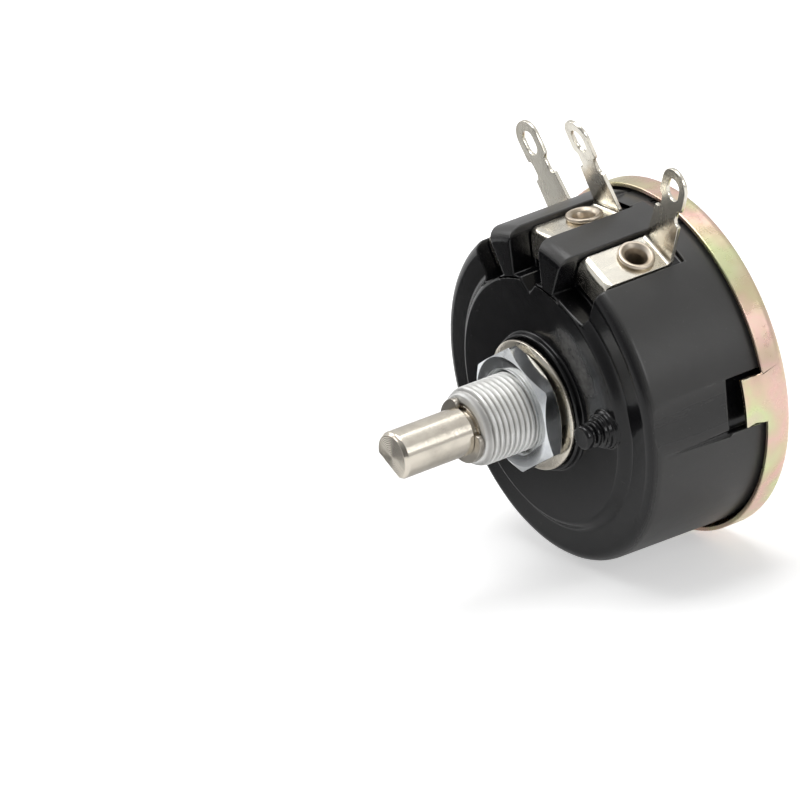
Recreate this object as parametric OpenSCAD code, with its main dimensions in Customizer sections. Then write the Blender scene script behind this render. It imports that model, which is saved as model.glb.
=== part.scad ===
// Wirewound rheostat, panel mounting, one turn of 270 degrees.
// Frame: the shaft lies along Y and comes out towards -Y. The origin is on the
// shaft's axis, in the plane of the boss that seats against the panel. +Z points
// at the centre terminal and +X at the locating peg. Angles are counted from +X
// towards +Z, as seen from the shaft's end.

/* [Housing] */
// Outer diameter of the housing at its front shoulder
housing_front_d = 41.6; // [38:0.1:44]
// Outer diameter of the housing at its rear edge
housing_back_d = 42; // [39:0.1:44]
// Distance from the panel to the rear edge of the housing
housing_depth = 21; // [20:0.5:26]
// Thickness of the side wall
wall = 2.2; // [2:0.1:2.6]
// Thickness of the front wall behind the shoulder
front_wall = 4.45; // [3.4:0.05:4.6]
// Radius of the rounded front shoulder
shoulder_r = 1.5; // [0.8:0.1:1.8]
// Diameter of the seating boss around the bushing
boss_d = 17.2; // [16:0.1:20]
// Height of the seating boss above the raised face
boss_h = 0.85; // [0.4:0.05:1.5]
// Diameter of the raised front face
face_d = 30.8; // [28:0.1:34]
// Height of the raised face above the shoulder
face_h = 1.1; // [0.8:0.05:2.2]

/* [Locating peg] */
// Distance of the peg from the shaft's axis
peg_at = 13.2; // [12:0.1:14]
// Diameter of the peg
peg_d = 3.4; // [2.4:0.1:3.6]
// How far the peg reaches past the seating boss
peg_reach = 2.8; // [1.5:0.1:3.5]

/* [Bushing and fasteners] */
// Outer diameter of the bushing's thread
bush_d = 9.9; // [9.5:0.05:10]
// Length of the bushing in front of the panel
bush_len = 10.3; // [8:0.1:14]
// Width of the nut across its flats
nut_af = 14; // [13:0.5:15]
// Thickness of the nut
nut_t = 2.5; // [2:0.1:3]
// Outer diameter of the spring washer
washer_d = 16.3; // [15:0.1:17]
// Thickness of the spring washer
washer_t = 0.4; // [0.3:0.05:0.5]
// Free height of the bowed spring washer
washer_bow = 0.95; // [0.8:0.05:1.2]

/* [Shaft] */
// Diameter of the shaft
shaft_d = 6; // [5.8:0.05:6]
// Reach of the shaft in front of the panel
shaft_reach = 21.1; // [18:0.1:30]
// Distance from the shaft's round side to its flat
flat_across = 4.55; // [4.3:0.05:5.5]
// Length of the flat
flat_len = 5; // [3:0.1:5.2]
// Turning range from stop to stop, in degrees
travel = 270; // [240:5:280]
// Angle at which the wiper and the flat point, in degrees
rest_angle = 239; // [150:1:390]

/* [Terminals] */
// Angle between neighbouring terminals, in degrees
terminal_step = 28.5; // [26:0.5:32]
// Width of a terminal strip
strip_w = 5.2; // [4.5:0.1:5.4]
// Thickness of the terminal sheet
strip_t = 0.5; // [0.4:0.05:0.6]
// Length of the right, centre and left solder lug beyond the bend
lug_len = [13.1, 12.5, 11.6];
// Forward lean of the right, centre and left lug, in degrees
lug_lean = [2, 18, 4];
// Outer diameter of the eyelet's head
eyelet_d = 4.7; // [4:0.1:4.8]
// Diameter of the eyelet's hole
eyelet_hole_d = 2.4; // [2:0.1:2.6]

/* [Cover] */
// Outer diameter of the cover's rim
cover_d = 44; // [43:0.1:46]
// Height of the cover's rim
rim_h = 3.65; // [3:0.05:5]
// Thickness of the cover's sheet
sheet_t = 0.6; // [0.4:0.05:0.8]
// Radius of the cover's rounded edge
cover_edge_r = 1.2; // [0.8:0.1:1.6]
// Width of a snap tab
tab_w = 6.2; // [4:0.1:8]
// Length of a snap tab
tab_len = 3; // [2:0.1:4]
// Angles of the snap tabs, in degrees
tab_angles = [2, 178, 270];

/* [Resistance element] */
// Height of the former card that carries the winding
card_h = 9; // [7:0.1:9.5]
// Thickness of the former card
card_t = 0.7; // [0.5:0.05:1]
// Thickness of the wire layer on each side of the card
wire_t = 0.25; // [0.15:0.05:0.4]
// Angle of the gap between the card's ends, in degrees
card_gap = 80; // [74:1:84]

/* [Hidden] */
$fn = 96;
eps = 0.01;
far = 60;

// housing levels along the axis
front_r = housing_front_d / 2;
back_r = housing_back_d / 2;
bore_r = back_r - wall;
face_y = boss_h;
shoulder_y = face_y + face_h;
floor_y = shoulder_y + front_wall;
body_fit_r = 6.6;
body_fit_y = 1.2;

// terminals, counted from the axis outwards
terminal_angles = [90 - terminal_step, 90, 90 + terminal_step];
channel_w = strip_w + 0.5;
channel_floor = front_r - 0.6;
strip_out = channel_floor + strip_t;
leg_y = shoulder_y + 1.8;
bend_y = leg_y + 9;
channel_end = bend_y + 2.35;
eyelet_y = leg_y + 6.2;
lug_bend_r = 0.5;
leg_len = 3.8;
pad_x = bore_r - 0.45;
plate_t = 0.4;
plate_x = pad_x - plate_t;

// cover and the slots that take its tabs
rim_front_y = housing_depth + 0.3 + sheet_t - rim_h;
cover_r = cover_d / 2;
tab_half = asin(tab_w / cover_d);
slot_w = tab_w + 0.7;
slot_floor = front_r - 0.4;
pocket_floor = front_r - 1.3;
pocket_y = rim_front_y - tab_len - 1.8;

// resistance element
card_r = plate_x;
card_y = floor_y + 0.9;
card_half = (360 - card_gap) / 2;
wind_half = card_half - 2.5;
clip_over = 1.9;
element_back = card_y + card_h + wire_t;

// rotor levels along the axis
thrust_y = floor_y + 0.3;
hub_y = thrust_y + 0.6;
flange_y = hub_y + 3.2;
ring_y = flange_y + 2;
leaf_y = ring_y + 0.65;
arm_y = element_back + 0.85;
shaft_end_y = arm_y + 1.6;
hub_r = 5.6;
flange_r = 8.2;
lug_half = 10;
stop_half = (360 - travel) / 2 - lug_half - 0.5;
brush_r = card_r - card_t / 2;

// ring groove in front of the bushing
ring_t = 0.7;
groove_y = -bush_len - ring_t - 0.15;
shaft_r = shaft_d / 2;

// ---- helpers ----

// a shape drawn around Z is laid along the shaft's axis
module on_axis() { rotate([-90, 0, 0]) children(); }

// a shape placed on +X is swung to an angle as seen from the shaft's end
module at_angle(a) { rotate([0, -a, 0]) children(); }

// a profile of (radius, distance behind the panel) is turned from a0 to a1
module sweep(a0, a1) {
    on_axis() rotate([0, 0, -a1]) rotate_extrude(angle = a1 - a0) children();
}

// the same profile turned all the way round
module turn() { on_axis() rotate_extrude() children(); }

// a disc or bore along the axis
module plug(r, y0, y1) { translate([0, y0, 0]) rotate([-90, 0, 0]) cylinder(r = r, h = y1 - y0); }

// a bar on +X: radial x0 to x1, axial y0 to y1, width w
module bar(x0, x1, y0, y1, w) { translate([x0, y0, -w / 2]) cube([x1 - x0, y1 - y0, w]); }

// what a rounded corner takes away; the corner is at the origin, the solid at -x +y
module corner_cut(r) {
    translate([-r, r]) difference() {
        translate([0, -r - eps]) square([r + eps, r + eps]);
        circle(r);
    }
}

// what a fillet adds in an inner corner at the origin, open towards +x and -y
module fillet(r) {
    difference() {
        translate([-eps, -r]) square([r + eps, r + eps]);
        translate([r, -r]) circle(r);
    }
}

// ---- stator ----

// side wall, front wall, shoulder, raised face and boss as one turned profile
module housing_profile() {
    difference() {
        union() {
            polygon(concat([[0, 0], [boss_d / 2, 0], [boss_d / 2, face_y]],
                [for (i = [0:8]) [face_d / 2 - 0.2 + 1.7 * i / 8, face_y + face_h * (1 - cos(22.5 * i)) / 2]],
                [[front_r, shoulder_y], [back_r, housing_depth],
                [bore_r, housing_depth], [bore_r, floor_y], [0, floor_y]]));
            translate([boss_d / 2, face_y]) fillet(0.3);
        }
        translate([front_r, shoulder_y]) corner_cut(shoulder_r);
        translate([boss_d / 2, 0]) corner_cut(0.3);
    }
}

// channel, front pocket and rear notch for one terminal
module terminal_seat(inner) {
    bar(channel_floor, far, leg_y + strip_t, channel_end, channel_w);
    bar(channel_floor - 0.2, far, leg_y + strip_t - eps, leg_y + strip_t + 0.2, channel_w);
    bar(inner, far, -eps, leg_y + strip_t, channel_w);
    translate([0, eyelet_y, 0]) rotate([0, 90, 0]) cylinder(r = eyelet_hole_d / 2 + 0.5, h = far);
}

// flat slot and deep pocket under one snap tab
module tab_seat() {
    bar(slot_floor, far, -eps, housing_depth + eps, slot_w);
    bar(pocket_floor, far, pocket_y, housing_depth + eps, slot_w);
}

module locating_peg() {
    translate([peg_at, 0, 0]) on_axis() rotate_extrude($fn = 64) difference() {
        polygon([[0, -peg_reach], [peg_d / 2, -peg_reach], [peg_d / 2, -0.45], [peg_d / 2 - 0.25, -0.3],
            [peg_d / 2 - 0.25, -0.1], [peg_d / 2 + 0.45, -0.1], [peg_d / 2 + 0.45, face_y + 0.5], [0, face_y + 0.5]]);
        translate([peg_d / 2, -peg_reach]) corner_cut(0.35);
    }
}

module housing() {
    color([0.08, 0.08, 0.085]) {
        difference() {
            union() {
                turn() housing_profile();
                for (a = terminal_angles) at_angle(a)
                    bar(pad_x, bore_r + 0.6, floor_y - eps, channel_end - 1.2, channel_w);
            }
            at_angle(terminal_angles[0]) terminal_seat(face_d / 2 + 0.2);
            at_angle(terminal_angles[1]) terminal_seat(face_d / 2 - 1.4);
            at_angle(terminal_angles[2]) terminal_seat(face_d / 2 + 0.2);
            for (a = tab_angles) at_angle(a) tab_seat();
            plug(bush_d / 2, -eps, body_fit_y + eps);
            plug(body_fit_r, body_fit_y, floor_y + eps);
            // ring groove moulded around the peg's foot
            translate([peg_at, 0, 0]) on_axis() difference() {
                translate([0, 0, face_y - eps]) cylinder(r = peg_d / 2 + 0.95, h = 0.25);
                cylinder(r = peg_d / 2 + 0.4, h = 5);
            }
        }
        locating_peg();
        // stop for the rotor's lug, on the inside of the front wall
        sweep(90 - stop_half, 90 + stop_half) translate([flange_r + 0.4, floor_y - eps]) square([3, 3]);
    }
}

module bushing() {
    color([0.72, 0.73, 0.74]) turn() difference() {
        polygon([[shaft_r + 0.05, -bush_len], [bush_d / 2 - 0.75, -bush_len], [bush_d / 2, -bush_len + 0.7],
            [bush_d / 2, body_fit_y], [body_fit_r, body_fit_y], [body_fit_r, floor_y + 0.2],
            [shaft_r + 0.05, floor_y + 0.2]]);
        translate([shaft_r, -bush_len - eps]) square([0.35, 0.3]);
    }
}

// points on an arc about c from a0 to a1
function arc(c, r, a0, a1, n = 8) = [for (i = [0:n]) let (a = a0 + (a1 - a0) * i / n) c + r * [cos(a), sin(a)]];

// terminal seen from its edge: leg, strip, bend and leaning lug
module terminal_side(lean, len) {
    r0 = 0.15;
    tip = (len + 1) * [cos(lean), -sin(lean)];
    c1 = [strip_out - r0 - strip_t, leg_y + r0 + strip_t];
    c2 = [strip_out + lug_bend_r, bend_y];
    front = arc(c2, lug_bend_r, 180, 90 - lean);
    back = arc(c2, lug_bend_r + strip_t, 90 - lean, 180);
    polygon(concat([[strip_out - leg_len, leg_y]], arc(c1, r0 + strip_t, -90, 0), front,
        [front[8] + tip, back[0] + tip], back, arc(c1, r0, 0, -90), [[strip_out - leg_len, leg_y + strip_t]]));
}

// terminal seen from the front: strip, waisted lug and round eye with an oval hole
module terminal_front(len) {
    eye_r = 2.15;
    neck = 2.9;
    top = strip_out + len;
    hole_r = 1.1;
    difference() {
        union() {
            translate([0, -strip_w / 2]) square([strip_out + 0.8, strip_w]);
            polygon([[strip_out, -strip_w / 2 + 0.15], [strip_out + 0.34 * len, -strip_w / 2 + 0.25],
                [strip_out + 0.37 * len, -neck / 2], [top - eye_r - 3.8, -neck / 2], [top - eye_r - 3.5, -eye_r],
                [top - eye_r, -eye_r], [top - eye_r, eye_r], [top - eye_r - 3.5, eye_r], [top - eye_r - 3.8, neck / 2],
                [strip_out + 0.37 * len, neck / 2], [strip_out + 0.34 * len, strip_w / 2 - 0.25],
                [strip_out, strip_w / 2 - 0.15]]);
            translate([top - eye_r, 0]) circle(eye_r);
        }
        for (x = [top - 4.6, top - 2.9]) translate([x, 0]) circle(hole_r, $fn = 48);
        translate([top - 4.6, -hole_r]) square([1.7, 2 * hole_r]);
    }
}

module terminal(i) {
    color([0.83, 0.81, 0.76]) at_angle(terminal_angles[i]) difference() {
        intersection() {
            translate([0, 0, -strip_w]) linear_extrude(2 * strip_w) terminal_side(lug_lean[i], lug_len[i]);
            translate([0, far / 2, 0]) rotate([90, 0, 0]) linear_extrude(far) terminal_front(lug_len[i]);
        }
        translate([0, eyelet_y, 0]) rotate([0, 90, 0]) cylinder(r = eyelet_hole_d / 2 + 0.5, h = strip_out + 0.5);
    }
}
module terminal_right() { terminal(0); }
module terminal_centre() { terminal(1); }
module terminal_left() { terminal(2); }

// tubular rivet from the inner plate out through the wall and the strip
module eyelet(i) {
    hole = eyelet_hole_d / 2;
    color([0.84, 0.8, 0.72]) at_angle(terminal_angles[i]) translate([0, eyelet_y, 0])
        rotate([0, 90, 0]) rotate_extrude() difference() {
            polygon([[hole, plate_x - 0.3], [eyelet_d / 2 - 0.3, plate_x - 0.3], [eyelet_d / 2 - 0.3, plate_x],
                [hole + 0.5, plate_x], [hole + 0.5, strip_out], [eyelet_d / 2, strip_out],
                [eyelet_d / 2, strip_out + 0.4], [hole, strip_out + 0.4]]);
            translate([hole, strip_out + 0.4]) mirror([1, 0]) mirror([0, 1]) corner_cut(0.3);
            translate([eyelet_d / 2, strip_out + 0.4]) mirror([0, 1]) corner_cut(0.25);
        }
}
module eyelet_right() { eyelet(0); }
module eyelet_centre() { eyelet(1); }
module eyelet_left() { eyelet(2); }

module card_section() { translate([card_r - card_t, card_y]) square([card_t, card_h]); }

module winding_card() {
    color([0.5, 0.3, 0.16]) sweep(270 - card_half, 270 + card_half) card_section();
}

// the close turns of wire, as the layer that they form around the card
module resistance_winding() {
    color([0.6, 0.56, 0.5]) sweep(270 - wind_half, 270 + wind_half) difference() {
        translate([card_r - card_t - wire_t, card_y - wire_t])
            square([card_t + 2 * wire_t, card_h + 2 * wire_t]);
        card_section();
    }
}

module insulating_liner() {
    color([0.62, 0.56, 0.4]) sweep(270 - wind_half, 270 + wind_half)
        translate([bore_r - 0.55, floor_y + 0.3]) square([0.5, card_h + 0.8]);
}

// clip crimped on the card's end, with a strap to the plate under the eyelet
module end_clip(i, side) {
    edge = 90 + side * card_gap / 2;
    a = terminal_angles[i];
    color([0.78, 0.68, 0.4]) {
        sweep(min(edge - side * 1.6, edge + side * clip_over), max(edge - side * 1.6, edge + side * clip_over)) difference() {
            translate([card_r - card_t - plate_t, card_y - plate_t])
                square([card_t + 2 * plate_t, card_h + 2 * plate_t]);
            card_section();
        }
        sweep(min(a + side * 5, edge), max(a + side * 5, edge))
            translate([plate_x - 0.05, eyelet_y - 1.5]) square([plate_t, 3]);
        at_angle(a) difference() {
            bar(plate_x, pad_x, eyelet_y - 2.4, eyelet_y + 2.4, strip_w);
            translate([0, eyelet_y, 0]) rotate([0, 90, 0]) cylinder(r = eyelet_hole_d / 2 + 0.5, h = far);
        }
    }
}
module end_clip_right() { end_clip(0, -1); }
module end_clip_left() { end_clip(2, 1); }

// spring leaf from the centre eyelet to the collector ring
module collector_leaf() {
    inner = hub_r + 0.5;
    color([0.8, 0.66, 0.36]) at_angle(90) {
        difference() {
            bar(plate_x, pad_x, eyelet_y - 2.4, leaf_y + 0.3, strip_w);
            translate([0, eyelet_y, 0]) rotate([0, 90, 0]) cylinder(r = eyelet_hole_d / 2 + 0.5, h = far);
        }
        translate([0, leaf_y + 0.3, 0]) rotate([90, 0, 0]) linear_extrude(0.3) difference() {
            polygon([[inner, -1.6], [plate_x + 0.1, -strip_w / 2], [plate_x + 0.1, strip_w / 2], [inner, 1.6]]);
            translate([inner - eps, -0.3]) square([4, 0.6]);
        }
    }
}

module thrust_washer() {
    color([0.75, 0.75, 0.76]) turn() translate([shaft_r + 0.15, thrust_y]) square([2.6, 0.5]);
}

module insulating_disc() { color([0.7, 0.62, 0.44]) plug(back_r - 0.3, housing_depth, housing_depth + 0.3); }

// drawn cap with a rounded edge and three sprung tabs
module cover() {
    back = housing_depth + 0.3 + sheet_t;
    in_r = cover_r - sheet_t;
    n = len(tab_angles);
    color([0.78, 0.73, 0.5]) difference() {
        turn() difference() {
            polygon([[0, back - sheet_t], [in_r - 0.5, back - sheet_t], [in_r, back - sheet_t - 0.5],
                [in_r, rim_front_y - 0.3], [in_r - 0.35, rim_front_y - 1.2], [in_r - 0.45, rim_front_y - 2],
                [in_r - 0.1, rim_front_y - tab_len], [in_r - 0.1 + sheet_t, rim_front_y - tab_len],
                [in_r - 0.45 + sheet_t, rim_front_y - 2], [in_r - 0.35 + sheet_t, rim_front_y - 1.2],
                [cover_r, rim_front_y - 0.3], [cover_r, back], [0, back]]);
            translate([cover_r, back]) mirror([0, 1]) corner_cut(cover_edge_r);
        }
        for (i = [0:n - 1]) let (next = i < n - 1 ? tab_angles[i + 1] : tab_angles[0] + 360)
            sweep(tab_angles[i] + tab_half, next - tab_half)
                translate([in_r - 2, rim_front_y - tab_len - 1]) square([6, tab_len + 1]);
    }
}

// ---- fasteners on the bushing ----

// flat ring bowed about one diameter, cut from a thick-walled tube
module spring_washer() {
    bow = washer_bow - washer_t;
    reach = washer_d / 2;
    bow_r = (reach * reach + bow * bow) / (2 * bow);
    color([0.8, 0.78, 0.72]) intersection() {
        difference() { plug(reach, -4, 2); plug(bush_d / 2 + 0.3, -5, 3); }
        translate([0, bow_r - washer_bow - 0.05, 0]) difference() {
            cylinder(r = bow_r, h = far, center = true, $fn = 360);
            cylinder(r = bow_r - washer_t, h = far + 1, center = true, $fn = 360);
        }
    }
}

// hexagon with both faces chamfered at 30 degrees
module hex_nut() {
    y1 = -washer_bow - 0.15;
    corner = nut_af / sqrt(3);
    lead = (corner - nut_af / 2 + 0.15) * tan(30);
    color([0.7, 0.74, 0.78]) difference() {
        intersection() {
            translate([0, y1, 0]) rotate([90, 0, 0]) rotate([0, 0, 30]) cylinder(r = corner, h = nut_t, $fn = 6);
            turn() polygon([[0, y1 - nut_t], [nut_af / 2 - 0.15, y1 - nut_t], [corner, y1 - nut_t + lead],
                [corner, y1 - lead], [nut_af / 2 - 0.15, y1], [0, y1]]);
        }
        plug(bush_d / 2 + 0.06, y1 - nut_t - 1, y1 + 1);
        turn() polygon([[0, y1 - nut_t - eps], [bush_d / 2 + 0.5, y1 - nut_t - eps],
            [bush_d / 2, y1 - nut_t + 0.5], [0, y1 - nut_t + 0.5]]);
    }
}

// ---- rotor ----

module shaft() {
    tip = -shaft_reach;
    color([0.84, 0.82, 0.77]) difference() {
        turn() polygon([[0, tip], [shaft_r - 0.45, tip], [shaft_r, tip + 0.55], [shaft_r, groove_y],
            [shaft_r - 0.6, groove_y], [shaft_r - 0.6, groove_y + ring_t + 0.1], [shaft_r, groove_y + ring_t + 0.1],
            [shaft_r, arm_y + 0.4], [shaft_r - 0.5, arm_y + 0.4], [shaft_r - 0.5, arm_y + 0.95],
            [shaft_r, arm_y + 0.95], [shaft_r, shaft_end_y - 0.3], [shaft_r - 0.3, shaft_end_y], [0, shaft_end_y]]);
        at_angle(rest_angle) bar(flat_across - shaft_r, far, tip - 1, tip + flat_len, far);
    }
}

// open ring snapped into a groove; the gap is centred on the angle a
module snap_ring(r_in, r_out, y, t, a, gap) {
    mid = (r_in + r_out) / 2;
    sweep(a + gap / 2, a + 360 - gap / 2) translate([r_in, y]) square([r_out - r_in, t]);
    for (s = [-1, 1]) at_angle(a + s * gap / 2) translate([mid, y, 0]) rotate([-90, 0, 0])
        cylinder(r = (r_out - r_in) * 0.4, h = t, $fn = 48);
}

module retaining_ring() {
    color([0.62, 0.59, 0.54]) snap_ring(shaft_r - 0.55, 4.3, groove_y + 0.05, ring_t, 50, 118);
}

module hub_clip() {
    color([0.62, 0.59, 0.54]) sweep(rest_angle - 145, rest_angle + 145)
        translate([shaft_r - 0.45, arm_y + 0.42]) square([1.9, 0.5]);
}

// moulded hub with its flange and the lug that meets the stop
module rotor_hub() {
    color([0.32, 0.17, 0.09]) difference() {
        union() {
            plug(hub_r, hub_y, arm_y);
            plug(flange_r, flange_y, ring_y);
            sweep(rest_angle - lug_half, rest_angle + lug_half)
                translate([hub_r - 1, hub_y + 0.2]) square([flange_r + 3.1 - hub_r + 1, ring_y - hub_y - 0.2]);
        }
        plug(shaft_r, hub_y - 1, arm_y + 1);
    }
}

module collector_ring() {
    color([0.8, 0.66, 0.36]) turn() translate([hub_r, ring_y]) square([flange_r - hub_r - 0.2, 0.5]);
}

// sprung arm on the hub's rear end, with a strap down to the collector ring
module wiper_arm() {
    root = hub_r + 0.3;
    color([0.8, 0.66, 0.36]) at_angle(rest_angle) {
        translate([0, arm_y + 0.4, 0]) rotate([90, 0, 0]) linear_extrude(0.4) difference() {
            union() {
                circle(hub_r);
                polygon([[2, -3.6], [root + 3, -3], [brush_r, -0.9], [brush_r, 0.9], [root + 3, 3], [2, 3.6]]);
                translate([brush_r, 0]) circle(0.9, $fn = 48);
            }
            circle(shaft_r + 0.02);
            // window that softens the arm
            polygon([[root + 3, -1.6], [brush_r - 3, -0.7], [brush_r - 3, 0.7], [root + 3, 1.6]]);
        }
        bar(hub_r, hub_r + 0.4, ring_y + 0.5, arm_y + 0.4, 2.4);
    }
}

module contact_brush() {
    color([0.55, 0.36, 0.24]) at_angle(rest_angle) translate([brush_r, element_back + 0.15, 0]) rotate([-90, 0, 0])
        cylinder(r = 0.75, h = arm_y - element_back - 0.15, $fn = 48);
}

housing();
bushing();
shaft();
retaining_ring();
spring_washer();
hex_nut();
terminal_right();
terminal_centre();
terminal_left();
eyelet_right();
eyelet_centre();
eyelet_left();
winding_card();
resistance_winding();
insulating_liner();
end_clip_right();
end_clip_left();
collector_leaf();
thrust_washer();
rotor_hub();
collector_ring();
wiper_arm();
contact_brush();
hub_clip();
insulating_disc();
cover();
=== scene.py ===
"""Looks of the wirewound rheostat: its housing, bush, shaft, fasteners, terminals,
cover and winding, with a plain studio. Lengths inside the functions are millimetres
and are scaled once, when a mesh is made. Depth runs along +Y from the panel's plane."""

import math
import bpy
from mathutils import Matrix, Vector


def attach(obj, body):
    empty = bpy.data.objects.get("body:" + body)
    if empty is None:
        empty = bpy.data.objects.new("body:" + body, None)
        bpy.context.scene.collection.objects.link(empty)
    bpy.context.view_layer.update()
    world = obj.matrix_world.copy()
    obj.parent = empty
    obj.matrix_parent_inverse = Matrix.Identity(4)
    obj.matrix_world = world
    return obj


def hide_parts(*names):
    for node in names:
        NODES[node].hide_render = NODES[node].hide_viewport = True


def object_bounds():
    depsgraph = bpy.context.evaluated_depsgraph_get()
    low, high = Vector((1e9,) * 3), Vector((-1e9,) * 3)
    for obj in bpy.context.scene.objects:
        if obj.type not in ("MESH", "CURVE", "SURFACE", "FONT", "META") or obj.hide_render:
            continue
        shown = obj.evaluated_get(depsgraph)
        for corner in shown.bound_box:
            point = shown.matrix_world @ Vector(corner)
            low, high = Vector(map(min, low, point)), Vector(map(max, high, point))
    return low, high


bl_info = {
    "name": "Wirewound Rheostat",
    "version": (1, 0, 0),
    "blender": (4, 5, 0),
    "location": "3D View > Sidebar > Rheostat",
    "description": "Builds the finished surfaces of a panel-mount wirewound rheostat",
    "category": "Object",
}

import bmesh
import bpy
import numpy as np
from mathutils import Matrix, Vector

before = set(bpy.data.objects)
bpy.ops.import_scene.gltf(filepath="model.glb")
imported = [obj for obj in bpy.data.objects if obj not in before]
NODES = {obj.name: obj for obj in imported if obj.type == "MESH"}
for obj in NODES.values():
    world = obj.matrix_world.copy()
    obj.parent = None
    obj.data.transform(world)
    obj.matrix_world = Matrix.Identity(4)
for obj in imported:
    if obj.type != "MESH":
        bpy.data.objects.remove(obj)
CAD_BOX = [list(corner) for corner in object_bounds()]

MM = 0.001
TAU = 2 * math.pi
# each terminal's side, angle round the shaft, lean of its lug and reach of its lug
TERMINALS = (("right", 61.5, 2, 13.1), ("centre", 90, 18, 12.5), ("left", 118.5, 4, 11.6))
TERMINAL_STEP = 28.5
SHEET = 0.5
RIVET_DEPTH = 9.95
RIVET_RADIUS = 1.7
CHANNEL = (-2.85, 2.85)
TAB_ANGLES = (2, 178, 270)
TAB_SLOT = (-3.45, 3.45)
REST_ANGLE = 239
# past every piece, for the far side of a cutter
FAR = 40


# ---------------------------------------------------------------- settings


class RheostatSizes(bpy.types.PropertyGroup):
    """Sizes of the details that the finished surfaces add to the solids."""

    thread_pitch: bpy.props.FloatProperty(
        name="Thread pitch", description="Pitch of the bush's thread, in millimetres", default=0.75,
        min=0.5, max=1.0)
    thread_depth: bpy.props.FloatProperty(
        name="Thread depth", description="Depth of the bush's thread, in millimetres", default=0.36,
        min=0.1, max=0.5)
    wire_turns: bpy.props.IntProperty(
        name="Wire turns", description="Number of turns on the winding card", default=280, min=60,
        max=420)
    wire_radius: bpy.props.FloatProperty(
        name="Wire radius", description="Radius of the resistance wire, in millimetres",
        default=0.1, min=0.05, max=0.12)
    edge_radius: bpy.props.FloatProperty(
        name="Moulded edge radius",
        description="Radius on the edges of the moulded housing, in millimetres", default=0.2,
        min=0.05, max=0.3)
    lip_flare: bpy.props.FloatProperty(
        name="Rivet lip", description="Height of the rivets' rolled lip, in millimetres",
        default=0.4, min=0.2, max=0.4)


class RheostatFinish(bpy.types.PropertyGroup):
    """Colours and wear of the finishes."""

    bakelite: bpy.props.FloatVectorProperty(
        name="Bakelite", description="Colour of the moulded housing", subtype="COLOR", size=4,
        min=0, max=1, default=(0.006, 0.006, 0.007, 1))
    # this colour also lightens the housing's side wall, partly as a dust film and partly as painted
    # light
    bakelite_dust_and_side_light: bpy.props.FloatVectorProperty(
        name="Dust", description="Colour of dust and rubbed spots on the housing", subtype="COLOR",
        size=4,
        min=0, max=1, default=(0.185, 0.182, 0.176, 1))
    nickel: bpy.props.FloatVectorProperty(
        name="Nickel", description="Colour of the nickel plated parts", subtype="COLOR", size=4,
        min=0, max=1, default=(0.80, 0.74, 0.64, 1))
    tin: bpy.props.FloatVectorProperty(
        name="Tin", description="Colour of the tinned terminals", subtype="COLOR", size=4,
        min=0, max=1, default=(0.88, 0.84, 0.74, 1))
    zinc: bpy.props.FloatVectorProperty(
        name="Zinc", description="Colour of the bright zinc on the nut", subtype="COLOR", size=4,
        min=0, max=1, default=(0.79, 0.81, 0.82, 1))
    passivate: bpy.props.FloatVectorProperty(
        name="Yellow passivate", description="Main colour of the cover's passivated zinc",
        subtype="COLOR", size=4,
        min=0, max=1, default=(0.80, 0.66, 0.44, 1))
    wear: bpy.props.FloatProperty(
        name="Wear", description="How much the edges and faces are rubbed", subtype="FACTOR",
        default=0.6, min=0, max=1)


def sizes():
    return bpy.context.scene.rheostat_sizes


def finish_values():
    return bpy.context.scene.rheostat_finish


# ---------------------------------------------------------------- profiles and meshes


def arc(centre, radius, start, end, steps=6):
    """Points on an arc, angles in degrees."""
    return [
        (centre[0] + radius * math.cos(math.radians(start + (end - start) * i / steps)),
         centre[1] + radius * math.sin(math.radians(start + (end - start) * i / steps)))
        for i in range(steps + 1)
    ]


def rounded(points, steps=4):
    """Rounds the corners of a closed outline. Each point is (x, y) or (x, y, radius)."""
    out, n = [], len(points)
    for i, p in enumerate(points):
        r = p[2] if len(p) > 2 else 0
        here = Vector(p[:2])
        if not r:
            out.append(tuple(here))
            continue
        a = (Vector(points[i - 1][:2]) - here).normalized()
        b = (Vector(points[(i + 1) % n][:2]) - here).normalized()
        half = math.acos(max(-1, min(1, a.dot(b)))) / 2
        reach = r / math.tan(half)
        centre = here + (a + b).normalized() * (r / math.sin(half))
        p0, p1 = here + a * reach - centre, here + b * reach - centre
        a0 = math.atan2(p0.y, p0.x)
        turn = (math.atan2(p1.y, p1.x) - a0 + math.pi) % TAU - math.pi
        out += [(centre.x + r * math.cos(a0 + turn * k / steps),
                 centre.y + r * math.sin(a0 + turn * k / steps))
                for k in range(steps + 1)]
    return out


def grid_mesh(name, rows, closed_u=True, closed_v=True):
    """A mesh from rows of points in millimetres, joined around and along."""
    nu, nv = len(rows), len(rows[0])
    bm = bmesh.new()
    verts = [[bm.verts.new([c * MM for c in p]) for p in row] for row in rows]
    for i in range(nu if closed_u else nu - 1):
        for j in range(nv if closed_v else nv - 1):
            quad = (verts[i][j], verts[i][(j + 1) % nv], verts[(i + 1) % nu][(j + 1) % nv],
                    verts[(i + 1) % nu][j])
            bm.faces.new(quad)
    return baked(name, bm)


def baked(name, bm, merge=1e-7):
    """Merges, closes and orients a bmesh, and returns it as a mesh."""
    bmesh.ops.remove_doubles(bm, verts=bm.verts, dist=merge)
    bmesh.ops.recalc_face_normals(bm, faces=bm.faces)
    mesh = bpy.data.meshes.new(name)
    bm.to_mesh(mesh)
    bm.free()
    return mesh


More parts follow.
